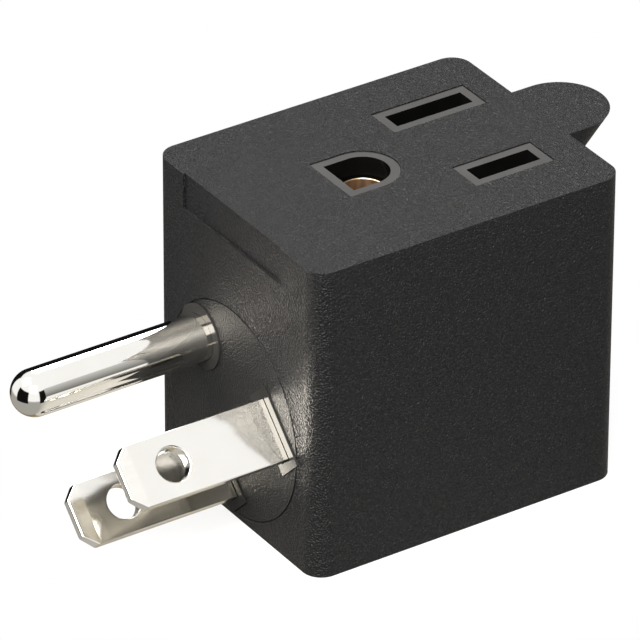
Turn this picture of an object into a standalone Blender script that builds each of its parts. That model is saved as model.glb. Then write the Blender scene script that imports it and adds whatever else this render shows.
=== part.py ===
"""A right angle plug adapter: a three-pin plug on one side and a three-hole outlet on top.

The frame is in metres with +Z up. Its origin is the centre of the round pad on the plug face, so the pins
point along -Y, the outlet opens along +Z and the pull tab is at +Y. Lengths below are in millimetres
times MM, and heights are measured up from the flat base unless a comment says otherwise.
"""

import math

import bmesh
import bpy

MM = 0.001

# Overmoulded jacket
BODY_WIDTH = 28.2 * MM
BODY_DEPTH = 35.25 * MM
BODY_HEIGHT = 33.9 * MM
CORNER_RADIUS = 2.1 * MM
TOP_SKIN = 1.65 * MM
FRONT_SKIN = 1.2 * MM
PAD_RADIUS = 11.15 * MM
PAD_HEIGHT = 0.25 * MM
PANEL_WIDTH = 16.85 * MM
PANEL_HEIGHT = 3.8 * MM
PANEL_DEPTH = 0.25 * MM
PANEL_X = -0.55 * MM

# Pull tab, flush with the top, shrinking and leaning in as it goes down
TAB_RADIUS = 4.85 * MM
TAB_REACH = 7.2 * MM
TAB_HEIGHT = 9.4 * MM
TAB_FOOT_RADIUS = 2.5 * MM
TAB_ROOT = 4.0 * MM
TAB_FOOT_INSET = 0.3 * MM

# Plug: the standard pattern, turned on the face
PLUG_HEIGHT = 12.05 * MM
PLUG_TURN = math.radians(45)
BLADE_SPACING = 12.7 * MM
GROUND_OFFSET = 11.9 * MM
BLADE_LINE_DROP = 4.05 * MM
BLADE_WIDTH = 6.35 * MM
BLADE_THICKNESS = 1.5 * MM
BLADE_REACH = 16.95 * MM
BLADE_CORNER = 1.3 * MM
BLADE_BEVEL = 1.5 * MM
BLADE_TIP_THICKNESS = 0.78 * MM
BLADE_HOLE_RADIUS = 1.8 * MM
BLADE_HOLE_REACH = 11.55 * MM
BLADE_LUG = 0.52 * MM
GROUND_PIN_RADIUS = 2.375 * MM
GROUND_PIN_REACH = 21.0 * MM
GROUND_FLANGE_RADIUS = 2.75 * MM
FLANGE_THICKNESS = 1.2 * MM

# Plug block and the plate that locks the pins in it
BOSS_BORDER = 1.0 * MM
BOSS_HEIGHT = 0.15 * MM
PLUG_BLOCK_RADIUS = 11.0 * MM
PLUG_BLOCK_DEPTH = 3.7 * MM
RETAINER_DEPTH = 1.8 * MM
TAIL_WIDTH = 4.2 * MM
TENON_WIDTH = 2.6 * MM
TAIL_RADIUS = 1.7 * MM
TENON_RADIUS = 1.2 * MM
STAKED_HEAD = 0.6 * MM
STAKED_HEIGHT = 0.6 * MM

# Outlet: the standard pattern
OUTLET_X = -0.3 * MM
SLOT_LINE = 26.75 * MM
SLOT_WIDTH = 2.2 * MM
NEUTRAL_SLOT = 8.8 * MM
LINE_SLOT = 7.1 * MM
GROUND_ARC = 2.65 * MM
GROUND_FLAT = 2.8 * MM
COLLAR_BORDER = 0.95 * MM
COLLAR_RECESS = 0.1 * MM
WELL_MARGIN = 0.4 * MM
SLOT_FACE = 3.3 * MM
GROUND_FACE = 2.1 * MM
BLOCK_WALL = 1.5 * MM
BLOCK_CORNER = 1.0 * MM
TAIL_SEAT = 3.1 * MM

# Contact cover
COVER_THICKNESS = 1.8 * MM
PEG_RADIUS = 1.1 * MM
PEG_LENGTH = 3.0 * MM
PEG_INSET = 2.4 * MM

# Sheet metal
STRAP_THICKNESS = 0.8 * MM
STRAP_WIDTH = 4.2 * MM
STRAP_BEND = 1.2 * MM
PAD_OVERHANG = 2.6 * MM
JOG_START = 3.0 * MM
JOG_LENGTH = 6.0 * MM
LEAF_THICKNESS = 0.5 * MM
LEAF_SPREAD = 2.3 * MM
LEAF_PINCH = 0.7 * MM
LEAF_MOUTH = 1.5 * MM
LEAF_MOUTH_DEPTH = 1.6 * MM
LEAF_PINCH_DEPTH = 3.4 * MM
LEAF_FALL = 7.0 * MM
LEAF_BEND = 0.8 * MM
FINGER_SLIT = 0.8 * MM
TUBE_BORE = 2.15 * MM
TUBE_THICKNESS = 0.4 * MM
TUBE_SEAM = math.radians(50)
GROUND_TAIL = 5.0 * MM
RIVET_RADIUS = 0.8 * MM
RIVET_HEAD_RADIUS = 1.4 * MM
RIVET_CROWN_RADIUS = 1.0 * MM
RIVET_HEAD = 0.5 * MM
RIVET_SPACING = 3.6 * MM

# Clearances that tie the fits together
MOULDED = 0.05 * MM
SEATED = 0.1 * MM
LOOSE = 0.3 * MM
BITE = 1.0 * MM


def plug_point(sideways, drop):
    """(x, z) of a point of the plug pattern: sideways from blade to blade, drop away from the ground pin."""
    x = sideways * math.cos(PLUG_TURN) + drop * math.sin(PLUG_TURN)
    z = sideways * math.sin(PLUG_TURN) - drop * math.cos(PLUG_TURN)
    return x, z


LINE_PIN = plug_point(BLADE_SPACING / 2, BLADE_LINE_DROP)
NEUTRAL_PIN = plug_point(-BLADE_SPACING / 2, BLADE_LINE_DROP)
GROUND_PIN = plug_point(0.0, BLADE_LINE_DROP - GROUND_OFFSET)

# Planes and levels that follow from the sizes above
FRONT = PAD_HEIGHT
BACK = FRONT + BODY_DEPTH
BASE = -PLUG_HEIGHT
TOP = BASE + BODY_HEIGHT
BOSS_FACE = -BOSS_HEIGHT
BOSS_ROOT = FRONT + FRONT_SKIN + BITE
PLUG_BLOCK_FRONT = FRONT + FRONT_SKIN + MOULDED
PLUG_BLOCK_BACK = PLUG_BLOCK_FRONT + PLUG_BLOCK_DEPTH
RETAINER_FRONT = PLUG_BLOCK_BACK + SEATED
RETAINER_BACK = RETAINER_FRONT + RETAINER_DEPTH
STRAP_PAD = RETAINER_BACK + SEATED + STRAP_THICKNESS / 2
SHOULDER = PLUG_BLOCK_BACK - FLANGE_THICKNESS

SLOT_Y = FRONT + SLOT_LINE
GROUND_Y = SLOT_Y - GROUND_OFFSET
LINE_SLOT_X = OUTLET_X + BLADE_SPACING / 2
NEUTRAL_SLOT_X = OUTLET_X - BLADE_SPACING / 2
COLLAR_TOP = TOP - COLLAR_RECESS
BLOCK_TOP = TOP - TOP_SKIN - MOULDED
SLOT_WELL_TOP = TOP - SLOT_FACE
GROUND_WELL_TOP = TOP - GROUND_FACE
BLOCK_BOTTOM = GROUND_PIN[1] - GROUND_TAIL / 2 - TAIL_SEAT
CONTACT_BASE = BLOCK_BOTTOM - LOOSE - LEAF_THICKNESS / 2
STRAP_RUN = CONTACT_BASE - LEAF_THICKNESS / 2 - SEATED - STRAP_THICKNESS / 2
COVER_TOP = STRAP_RUN - STRAP_THICKNESS / 2 - SEATED
COVER_BOTTOM = COVER_TOP - COVER_THICKNESS
TUBE_RADIUS = TUBE_BORE + TUBE_THICKNESS / 2
TUBE_TOP = GROUND_WELL_TOP - LOOSE
GROUND_TAIL_Y = GROUND_Y - TUBE_RADIUS
SLOT_WELL_WIDTH = 2 * LEAF_SPREAD + LEAF_THICKNESS + 2 * LOOSE
GROUND_WELL_RADIUS = TUBE_RADIUS + TUBE_THICKNESS / 2 + LOOSE
BLOCK_FRONT = GROUND_Y - GROUND_WELL_RADIUS - BLOCK_WALL
BLOCK_BACK = SLOT_Y + NEUTRAL_SLOT / 2 + WELL_MARGIN + BLOCK_WALL
BLOCK_HALF_WIDTH = BLADE_SPACING / 2 + SLOT_WELL_WIDTH / 2 + BLOCK_WALL

# Faces that meet at more than these angles keep a sharp edge
SHARP = math.radians(35)
JACKET_SHARP = math.radians(15)

PLANES = {
    "XY": lambda across, along, out: (across, along, out),
    "XZ": lambda across, along, out: (across, out, along),
    "YZ": lambda across, along, out: (out, across, along),
}


def material(name, colour, roughness, metallic=0.0):
    made = bpy.data.materials.new(name)
    made.use_nodes = True
    shader = made.node_tree.nodes["Principled BSDF"]
    shader.inputs["Base Color"].default_value = (*colour, 1.0)
    shader.inputs["Roughness"].default_value = roughness
    shader.inputs["Metallic"].default_value = metallic
    made.diffuse_color = (*colour, 1.0)
    return made


def arc(centre, radius, start, end, steps):
    """Points of an arc, both ends included, with the angles in degrees."""
    angles = [math.radians(start + (end - start) * i / steps) for i in range(steps + 1)]
    return [(centre[0] + radius * math.cos(a), centre[1] + radius * math.sin(a)) for a in angles]


def circle(centre, radius, steps=48):
    return arc(centre, radius, 0, 360, steps)[:-1]


def rectangle(centre, width, height):
    x, y = centre
    signs = [(-1, -1), (1, -1), (1, 1), (-1, 1)]
    return [(x + i * width / 2, y + j * height / 2) for i, j in signs]


def span(low, high):
    """The rectangle between two opposite corners."""
    centre = ((low[0] + high[0]) / 2, (low[1] + high[1]) / 2)
    return rectangle(centre, high[0] - low[0], high[1] - low[1])


def rounded(centre, width, height, radius, steps=10):
    """A rectangle with round corners."""
    inner = rectangle(centre, width - 2 * radius, height - 2 * radius)
    corners = [arc(inner[i], radius, 180 + 90 * i, 270 + 90 * i, steps) for i in range(4)]
    return [point for corner in corners for point in corner]


def ground_outline(grow=0.0):
    """The ground opening: a half circle towards the slots, closed by a flat side towards the plug."""
    round_side = arc((OUTLET_X, GROUND_Y), GROUND_ARC + grow, 0, 180, 24)
    flat_y = GROUND_Y - GROUND_FLAT - grow
    return round_side + [(OUTLET_X - GROUND_ARC - grow, flat_y), (OUTLET_X + GROUND_ARC + grow, flat_y)]


def turned_rectangle(centre, sideways, drop):
    """A rectangle of the plug face, turned with the pin pattern."""
    signs = [(-1, -1), (1, -1), (1, 1), (-1, 1)]
    offsets = [plug_point(s * sideways / 2, d * drop / 2) for s, d in signs]
    return [(centre[0] + x, centre[1] + z) for x, z in offsets]


def solid(name, rings, finish=None):
    """One closed body through rings of points that all have the same count, capped at both ends."""
    count = len(rings[0])
    last = (len(rings) - 1) * count
    faces = [tuple(range(count)), tuple(range(last, last + count))]
    for start in range(0, last, count):
        for i in range(count):
            j = (i + 1) % count
            faces.append((start + i, start + j, start + count + j, start + count + i))
    mesh = bpy.data.meshes.new(name)
    mesh.from_pydata([point for ring in rings for point in ring], [], faces)
    return body_of(name, mesh, finish)


def body_of(name, mesh, finish):
    """An object for the mesh, with its faces pointing out."""
    shape = bmesh.new()
    shape.from_mesh(mesh)
    bmesh.ops.remove_doubles(shape, verts=shape.verts, dist=1e-8)
    bmesh.ops.recalc_face_normals(shape, faces=shape.faces)
    shape.to_mesh(mesh)
    shape.free()
    body = bpy.data.objects.new(name, mesh)
    bpy.context.scene.collection.objects.link(body)
    if finish:
        mesh.materials.append(finish)
    return body


def prism(name, outline, low, high, plane="XY", finish=None):
    """The outline in its plane, extruded from low to high along the third axis."""
    place = PLANES[plane]
    return solid(name, [[place(a, b, level) for a, b in outline] for level in (low, high)], finish)


def turned(name, profile, plane="XY", centre=(0.0, 0.0), finish=None, steps=40):
    """A lathe-turned body. The profile runs from the axis to the axis, as (radius, distance along it)."""
    place = PLANES[plane]
    shape = bmesh.new()
    corners = [shape.verts.new(place(radius, 0.0, along)) for radius, along in profile]
    edges = [shape.edges.new(pair) for pair in zip(corners, corners[1:])]
    axis = place(0.0, 0.0, 1.0)
    bmesh.ops.spin(shape, geom=corners + edges, cent=(0, 0, 0), axis=axis, angle=2 * math.pi, steps=steps)
    shift = place(centre[0], centre[1], 0.0)
    bmesh.ops.translate(shape, vec=shift, verts=shape.verts)
    mesh = bpy.data.meshes.new(name)
    shape.to_mesh(mesh)
    shape.free()
    return body_of(name, mesh, finish)


def bend_path(corners, steps=6):
    """A centre line through (a, b, radius) corners, with an arc wherever the radius isn't zero."""
    path = []
    for i, (a, b, radius) in enumerate(corners):
        if not radius:
            path.append((a, b))
            continue
        (a0, b0, _), (a1, b1, _) = corners[i - 1], corners[i + 1]
        to_before = math.atan2(b0 - b, a0 - a)
        to_after = math.atan2(b1 - b, a1 - a)
        opening = (to_after - to_before + math.pi) % (2 * math.pi) - math.pi
        reach = radius / math.tan(abs(opening) / 2)
        to_centre = to_before + opening / 2
        away = radius / math.sin(abs(opening) / 2)
        centre = (a + away * math.cos(to_centre), b + away * math.sin(to_centre))
        start = (a + reach * math.cos(to_before), b + reach * math.sin(to_before))
        end = (a + reach * math.cos(to_after), b + reach * math.sin(to_after))
        first = math.degrees(math.atan2(start[1] - centre[1], start[0] - centre[0]))
        last = math.degrees(math.atan2(end[1] - centre[1], end[0] - centre[0]))
        sweep = (last - first + 180) % 360 - 180
        path += arc(centre, radius, first, first + sweep, steps)
    return path


def folded_sheet(name, path, limits, thickness, plane, finish):
    """A strip of sheet along a centre line. limits(a, b) gives its two edges on the third axis."""
    place = PLANES[plane]
    rings = []
    for i, (a, b) in enumerate(path):
        before, after = path[max(i - 1, 0)], path[min(i + 1, len(path) - 1)]
        into = math.atan2(b - before[1], a - before[0]) if i else None
        out = math.atan2(after[1] - b, after[0] - a) if i < len(path) - 1 else into
        into = out if into is None else into
        turn = (out - into + math.pi) % (2 * math.pi) - math.pi
        normal = into + turn / 2 + math.pi / 2
        half = thickness / 2 / math.cos(turn / 2)
        da, db = half * math.cos(normal), half * math.sin(normal)
        low, high = limits(a, b)
        left, right = (a + da, b + db), (a - da, b - db)
        section = [(*left, low), (*right, low), (*right, high), (*left, high)]
        rings.append([place(*point) for point in section])
    return solid(name, rings, finish)


def combine(body, tools, operation="DIFFERENCE"):
    """Cuts the tools from the body, or joins or intersects them with it."""
    for tool in tools:
        tool.hide_render = True
        tool.display_type = "WIRE"
        step = body.modifiers.new(tool.name, "BOOLEAN")
        step.operation = operation
        step.solver = "EXACT"
        step.object = tool
    return body


def settle(body, sharp=SHARP):
    """Makes the modifiers part of the mesh, removes their tools and shades the round faces smooth."""
    bpy.context.view_layer.update()
    graph = bpy.context.evaluated_depsgraph_get()
    mesh = bpy.data.meshes.new_from_object(body.evaluated_get(graph))
    tools = [step.object for step in body.modifiers]
    body.modifiers.clear()
    body.data = mesh
    mesh.name = body.name
    for tool in tools:
        bpy.data.objects.remove(tool)
    mesh.shade_smooth()
    mesh.set_sharp_from_angle(angle=sharp)
    return body


def collar_outlines(grow):
    """The outer edges of the three collars round the outlet's openings, grown by a clearance."""
    border = 2 * (COLLAR_BORDER + grow)
    line = rectangle((LINE_SLOT_X, SLOT_Y), SLOT_WIDTH + border, LINE_SLOT + border)
    neutral = rectangle((NEUTRAL_SLOT_X, SLOT_Y), SLOT_WIDTH + border, NEUTRAL_SLOT + border)
    return {"line": line, "neutral": neutral, "ground": ground_outline(COLLAR_BORDER + grow)}


def boss_outlines(grow):
    """The outer edges of the three bosses round the pins, grown by a clearance."""
    border = 2 * (BOSS_BORDER + grow)
    line = turned_rectangle(LINE_PIN, BLADE_THICKNESS + border, BLADE_WIDTH + border)
    neutral = turned_rectangle(NEUTRAL_PIN, BLADE_THICKNESS + border, BLADE_WIDTH + border)
    ground = circle(GROUND_PIN, GROUND_PIN_RADIUS + BOSS_BORDER + grow)
    return {"line": line, "neutral": neutral, "ground": ground}


def tab_outline(radius, centre_y):
    """The pull tab in plan: a half circle whose straight sides run on into the body."""
    root = BACK - TAB_ROOT
    return [(radius, root)] + arc((0.0, centre_y), radius, 0, 180, 32) + [(-radius, root)]


def pull_tab():
    """The tab's underside is lofted from the half-round lip to a smaller foot in the back wall."""
    lip = tab_outline(TAB_RADIUS, BACK + TAB_REACH - TAB_RADIUS)
    foot = tab_outline(TAB_FOOT_RADIUS, BACK - TAB_FOOT_RADIUS - TAB_FOOT_INSET)
    rings = [[(x, y, TOP) for x, y in lip], [(x, y, TOP - TAB_HEIGHT) for x, y in foot]]
    return solid("tab_form", rings)


def strap_pockets(name, pin, outer_end):
    """Room in the jacket for a strap's pad, its staked tenon and the start of its run."""
    low_x = pin[0] - STRAP_WIDTH / 2 - LOOSE
    high_x = pin[0] + STRAP_WIDTH / 2 + LOOSE
    low_z, high_z = sorted((outer_end, STRAP_RUN))
    deep = STRAP_PAD + STRAP_THICKNESS / 2 + STAKED_HEIGHT + SEATED + LOOSE
    run_half = STRAP_THICKNESS / 2 + LOOSE
    pad = span((low_x, low_z - run_half), (high_x, high_z + run_half))
    run = span((low_x, STRAP_RUN - run_half), (high_x, STRAP_RUN + run_half))
    near = RETAINER_BACK - BITE
    return [
        prism(name + "_pad_room", pad, near, deep, "XZ"),
        prism(name + "_run_room", run, near, BLOCK_FRONT + BITE, "XZ"),
    ]


def jacket(finish):
    walls = rounded((0.0, (FRONT + BACK) / 2), BODY_WIDTH, BODY_DEPTH, CORNER_RADIUS)
    body = prism("jacket", walls, BASE, TOP, finish=finish)
    pad = prism("pad_form", circle((0.0, 0.0), PAD_RADIUS, 96), 0.0, FRONT + BITE / 2, "XZ")
    combine(body, [pull_tab(), pad], "UNION")

    half = PANEL_WIDTH / 2
    panel = span((PANEL_X - half, TOP - PANEL_HEIGHT), (PANEL_X + half, TOP + BITE))
    tools = [prism("panel_recess", panel, -BITE, FRONT + PANEL_DEPTH, "XZ")]
    for name, outline in collar_outlines(MOULDED).items():
        tools.append(prism(name + "_window", outline, BLOCK_TOP - BITE, TOP + BITE))
    for name, outline in boss_outlines(MOULDED).items():
        tools.append(prism(name + "_boss_window", outline, -BITE, BOSS_ROOT + MOULDED, "XZ"))

    plug_room = circle((0.0, 0.0), PLUG_BLOCK_RADIUS + SEATED, 64)
    tools.append(prism("plug_room", plug_room, PLUG_BLOCK_FRONT - MOULDED, RETAINER_BACK + MOULDED, "XZ"))
    tail_room = circle(GROUND_PIN, TAIL_RADIUS + LOOSE, 32)
    tools.append(prism("tail_room", tail_room, RETAINER_BACK - BITE, BLOCK_FRONT + BITE, "XZ"))
    tools += strap_pockets("line", LINE_PIN, LINE_PIN[1] + PAD_OVERHANG)
    tools += strap_pockets("neutral", NEUTRAL_PIN, NEUTRAL_PIN[1] - PAD_OVERHANG)
    tools.append(prism("outlet_room", block_outline(SEATED), COVER_BOTTOM - SEATED, BLOCK_TOP + MOULDED))
    return settle(combine(body, tools), JACKET_SHARP)


def block_outline(grow=0.0):
    """The outlet block and its cover in plan."""
    centre = (OUTLET_X, (BLOCK_FRONT + BLOCK_BACK) / 2)
    width = 2 * (BLOCK_HALF_WIDTH + grow)
    depth = BLOCK_BACK - BLOCK_FRONT + 2 * grow
    return rounded(centre, width, depth, BLOCK_CORNER + grow, 5)


def place_on_pin(body, pin):
    """Moves a body made round the axis to a pin, turned with the pattern."""
    body.location = (pin[0], 0.0, pin[1])
    body.rotation_euler = (0.0, -PLUG_TURN, 0.0)
    return body


def blade_seat(name, pin, front, back):
    """A blade's slot through the plug block, widened behind the shoulder for its lugs."""
    half = BLADE_WIDTH / 2 + MOULDED
    lug = half + BLADE_LUG
    shoulder = SHOULDER - MOULDED
    side = [(front, half), (shoulder, half), (shoulder, lug), (back, lug)]
    outline = side + [(y, -across) for y, across in reversed(side)]
    thick = BLADE_THICKNESS / 2 + MOULDED
    return place_on_pin(prism(name, outline, -thick, thick, "YZ"), pin)


def plug_block(finish):
    """The smooth insert that holds the pins. Its bosses stand through the jacket's windows."""
    disc = circle((0.0, 0.0), PLUG_BLOCK_RADIUS, 64)
    body = prism("plug_block", disc, PLUG_BLOCK_FRONT, PLUG_BLOCK_BACK, "XZ", finish)
    bosses = boss_outlines(0.0)
    forms = [prism(name + "_boss", bosses[name], BOSS_FACE, BOSS_ROOT, "XZ") for name in bosses]
    combine(body, forms, "UNION")

    front, back = BOSS_FACE - BITE, PLUG_BLOCK_BACK + BITE
    tools = [prism("ground_bore", circle(GROUND_PIN, GROUND_PIN_RADIUS + MOULDED), front, back, "XZ")]
    flange = circle(GROUND_PIN, GROUND_FLANGE_RADIUS + SEATED)
    tools.append(prism("flange_seat", flange, SHOULDER - MOULDED, back, "XZ"))
    tools.append(blade_seat("line_seat", LINE_PIN, front, back))
    tools.append(blade_seat("neutral_seat", NEUTRAL_PIN, front, back))
    return settle(combine(body, tools))


def pin_retainer(finish):
    """The plate that locks the pins' shoulders in the plug block. Only their tails pass it."""
    disc = circle((0.0, 0.0), PLUG_BLOCK_RADIUS, 64)
    body = prism("pin_retainer", disc, RETAINER_FRONT, RETAINER_BACK, "XZ", finish)
    front, back = RETAINER_FRONT - BITE, RETAINER_BACK + BITE
    tools = [prism("tail_bore", circle(GROUND_PIN, TAIL_RADIUS + SEATED, 32), front, back, "XZ")]
    for name, pin in (("line", LINE_PIN), ("neutral", NEUTRAL_PIN)):
        slot = turned_rectangle(pin, BLADE_THICKNESS + 2 * SEATED, TAIL_WIDTH + 2 * SEATED)
        tools.append(prism(name + "_tail_slot", slot, front, back, "XZ"))
    return settle(combine(body, tools))


def ground_pin(finish):
    """A turned pin: domed tip, locking flange, tail, and a tenon staked over the ground contact."""
    tip = BOSS_FACE - GROUND_PIN_REACH
    dome = arc((0.0, tip + GROUND_PIN_RADIUS), GROUND_PIN_RADIUS, -90, 0, 10)
    sheet_front = GROUND_TAIL_Y - TUBE_THICKNESS / 2 - SEATED
    sheet_back = GROUND_TAIL_Y + TUBE_THICKNESS / 2 + SEATED
    profile = dome + [
        (GROUND_PIN_RADIUS, SHOULDER),
        (GROUND_FLANGE_RADIUS, SHOULDER),
        (GROUND_FLANGE_RADIUS, PLUG_BLOCK_BACK),
        (TAIL_RADIUS, PLUG_BLOCK_BACK),
        (TAIL_RADIUS, sheet_front),
        (TENON_RADIUS, sheet_front),
        (TENON_RADIUS, sheet_back),
        (TENON_RADIUS + STAKED_HEAD, sheet_back),
        (TENON_RADIUS, sheet_back + STAKED_HEIGHT),
        (0.0, sheet_back + STAKED_HEIGHT),
    ]
    return settle(turned("ground_pin", profile, "XZ", GROUND_PIN, finish))


def blade_profile():
    """Half of a blade seen on its wide face, as (distance from its centre line, y) from tip to staked end."""
    half = BLADE_WIDTH / 2
    tip = BOSS_FACE - BLADE_REACH
    sheet_front = STRAP_PAD - STRAP_THICKNESS / 2 - SEATED / 2
    sheet_back = STRAP_PAD + STRAP_THICKNESS / 2 + SEATED
    tenon = TENON_WIDTH / 2
    return [
        (half - BLADE_CORNER, tip),
        (half, tip + BLADE_CORNER),
        (half, SHOULDER),
        (half + BLADE_LUG, SHOULDER),
        (half + BLADE_LUG, PLUG_BLOCK_BACK),
        (TAIL_WIDTH / 2, PLUG_BLOCK_BACK),
        (TAIL_WIDTH / 2, sheet_front),
        (tenon, sheet_front),
        (tenon, sheet_back),
        (tenon + STAKED_HEAD, sheet_back),
        (tenon, sheet_back + STAKED_HEIGHT),
    ]


def blade(name, pin, finish):
    """A blade stamped to its wide outline and coined to its bevelled edge view, the two forms intersected."""
    side = blade_profile()
    outline = [(y, across) for across, y in side] + [(y, -across) for across, y in reversed(side)]
    thick, thin = BLADE_THICKNESS / 2, BLADE_TIP_THICKNESS / 2
    body = prism(name, outline, -thick, thick, "YZ", finish)

    tip = BOSS_FACE - BLADE_REACH
    end = side[-1][1] + BITE
    edge_view = [(thin, tip), (thick, tip + BLADE_BEVEL), (thick, end)]
    edge_outline = edge_view + [(-x, y) for x, y in reversed(edge_view)]
    coined = prism(name + "_coined", edge_outline, -BLADE_WIDTH, BLADE_WIDTH)
    combine(body, [coined], "INTERSECT")

    hole = circle((BOSS_FACE - BLADE_HOLE_REACH, 0.0), BLADE_HOLE_RADIUS, 40)
    combine(body, [prism(name + "_hole", hole, -BITE, BITE, "YZ")])
    return place_on_pin(settle(body), pin)


def outlet_block(finish):
    """The insert that holds the contacts. Its collars stand in the jacket's windows."""
    body = prism("outlet_block", block_outline(), BLOCK_BOTTOM, BLOCK_TOP, finish=finish)
    collars = collar_outlines(0.0)
    forms = [prism(name + "_collar", collars[name], BLOCK_TOP - BITE / 2, COLLAR_TOP) for name in collars]
    combine(body, forms, "UNION")

    below, above = BLOCK_BOTTOM - BITE, TOP + BITE
    well = circle((OUTLET_X, GROUND_Y), GROUND_WELL_RADIUS)
    tools = [prism("ground_opening", ground_outline(), GROUND_WELL_TOP - BITE / 2, above)]
    tools.append(prism("ground_well", well, below, GROUND_WELL_TOP))
    for name, x, length in (("line", LINE_SLOT_X, LINE_SLOT), ("neutral", NEUTRAL_SLOT_X, NEUTRAL_SLOT)):
        slot = rectangle((x, SLOT_Y), SLOT_WIDTH, length)
        chamber = rectangle((x, SLOT_Y), SLOT_WELL_WIDTH, length + 2 * WELL_MARGIN)
        tools.append(prism(name + "_opening", slot, below, above))
        tools.append(prism(name + "_well", chamber, below, SLOT_WELL_TOP))

    tail_end = GROUND_PIN[0] - GROUND_TAIL / 2 - LOOSE
    tail_top = GROUND_PIN[1] + GROUND_TAIL / 2 + LOOSE
    deep = GROUND_TAIL_Y + TUBE_THICKNESS / 2 + SEATED + STAKED_HEIGHT + LOOSE
    tail_room = span((tail_end, BLOCK_FRONT - BITE), (OUTLET_X, GROUND_TAIL_Y + TUBE_THICKNESS / 2 + LOOSE))
    head_half = TENON_RADIUS + STAKED_HEAD + LOOSE
    head_room = span((GROUND_PIN[0] - head_half, BLOCK_FRONT - BITE), (GROUND_PIN[0] + head_half, deep))
    tools.append(prism("ground_tail_room", tail_room, below, tail_top))
    tools.append(prism("ground_head_room", head_room, below, tail_top))
    for i, place in enumerate(peg_places()):
        hole = circle(place, PEG_RADIUS + SEATED, 20)
        tools.append(prism(f"peg_hole_{i}", hole, below, BLOCK_BOTTOM + PEG_LENGTH + LOOSE))
    return settle(combine(body, tools))


def peg_places():
    """The cover's two pegs stand in the wall between the chambers."""
    front = GROUND_Y + GROUND_WELL_RADIUS + PEG_INSET
    return [(OUTLET_X, front), (OUTLET_X, BLOCK_BACK - PEG_INSET)]


def strap_edges(pin, slot_x):
    """The two edges of a strap along its run: a straight start under the pin, then a jog to its contact."""
    def limits(y, _):
        start = BLOCK_FRONT + JOG_START
        share = min(max((y - start) / JOG_LENGTH, 0.0), 1.0)
        centre = pin[0] + (slot_x - pin[0]) * share
        return centre - STRAP_WIDTH / 2, centre + STRAP_WIDTH / 2
    return limits


def rivet_places(slot_x):
    return [(slot_x, SLOT_Y - RIVET_SPACING / 2), (slot_x, SLOT_Y + RIVET_SPACING / 2)]


def strap(name, pin, outer_end, slot_x, slot_length, finish):
    """A folded bar: a pad staked on the blade's tenon, a bend, and a run under the contact."""
    jog = BLOCK_FRONT + JOG_START
    corners = [
        (STRAP_PAD, outer_end, 0),
        (STRAP_PAD, STRAP_RUN, STRAP_BEND),
        (jog, STRAP_RUN, 0),
        (jog + JOG_LENGTH, STRAP_RUN, 0),
        (SLOT_Y + slot_length / 2, STRAP_RUN, 0),
    ]
    body = folded_sheet(name, bend_path(corners), strap_edges(pin, slot_x), STRAP_THICKNESS, "YZ", finish)
    tenon = turned_rectangle(pin, BLADE_THICKNESS + 2 * SEATED, TENON_WIDTH + 2 * SEATED)
    tools = [prism(name + "_tenon_slot", tenon, STRAP_PAD - BITE, STRAP_PAD + BITE, "XZ")]
    for i, place in enumerate(rivet_places(slot_x)):
        hole = circle(place, RIVET_RADIUS + MOULDED, 20)
        tools.append(prism(f"{name}_rivet_hole_{i}", hole, STRAP_RUN - BITE, STRAP_RUN + BITE))
    return settle(combine(body, tools))


def slot_contact(name, slot_x, slot_length, finish):
    """Two sprung leaves on one base: flared mouths over a pinch that grips the blade, slit into fingers."""
    top = SLOT_WELL_TOP - LOOSE
    half = [
        (LEAF_MOUTH, top, 0),
        (LEAF_PINCH, top - LEAF_MOUTH_DEPTH, LEAF_BEND),
        (LEAF_PINCH, top - LEAF_PINCH_DEPTH, LEAF_BEND),
        (LEAF_SPREAD, top - LEAF_PINCH_DEPTH - LEAF_FALL, LEAF_BEND),
        (LEAF_SPREAD, CONTACT_BASE, LEAF_BEND),
    ]
    corners = [(slot_x - a, b, r) for a, b, r in half] + [(slot_x + a, b, r) for a, b, r in reversed(half)]
    reach = slot_length / 2 - WELL_MARGIN
    body = folded_sheet(
        name, bend_path(corners), lambda a, b: (SLOT_Y - reach, SLOT_Y + reach), LEAF_THICKNESS, "XZ", finish
    )
    slit = rectangle((slot_x, SLOT_Y), 2 * (LEAF_SPREAD + LEAF_THICKNESS), FINGER_SLIT)
    tools = [prism(name + "_slit", slit, top - LEAF_PINCH_DEPTH - LEAF_FALL, top + BITE)]
    for i, place in enumerate(rivet_places(slot_x)):
        hole = circle(place, RIVET_RADIUS + MOULDED, 20)
        tools.append(prism(f"{name}_rivet_hole_{i}", hole, CONTACT_BASE - BITE, CONTACT_BASE + BITE))
    return settle(combine(body, tools))


def ground_contact(finish):
    """A strip rolled into a sprung tube, with a flat tail that the ground pin is staked to."""
    low = GROUND_PIN[1] - GROUND_TAIL / 2
    high = GROUND_PIN[1] + GROUND_TAIL / 2
    shoulder = TUBE_RADIUS / 2
    path = [(GROUND_PIN[0] - GROUND_TAIL / 2, GROUND_TAIL_Y), (OUTLET_X - shoulder, GROUND_TAIL_Y)]
    path += arc((OUTLET_X, GROUND_Y), TUBE_RADIUS, -90, 270 - math.degrees(TUBE_SEAM), 40)

    def limits(x, y):
        on_tail = y < GROUND_TAIL_Y + TUBE_THICKNESS and x < OUTLET_X - shoulder / 2
        return low, high if on_tail else TUBE_TOP

    body = folded_sheet("ground_contact", path, limits, TUBE_THICKNESS, "XY", finish)
    hole = circle(GROUND_PIN, TENON_RADIUS + SEATED, 24)
    tenon_hole = prism("tenon_hole", hole, GROUND_TAIL_Y - BITE, GROUND_TAIL_Y + BITE, "XZ")
    return settle(combine(body, [tenon_hole]))


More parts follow.
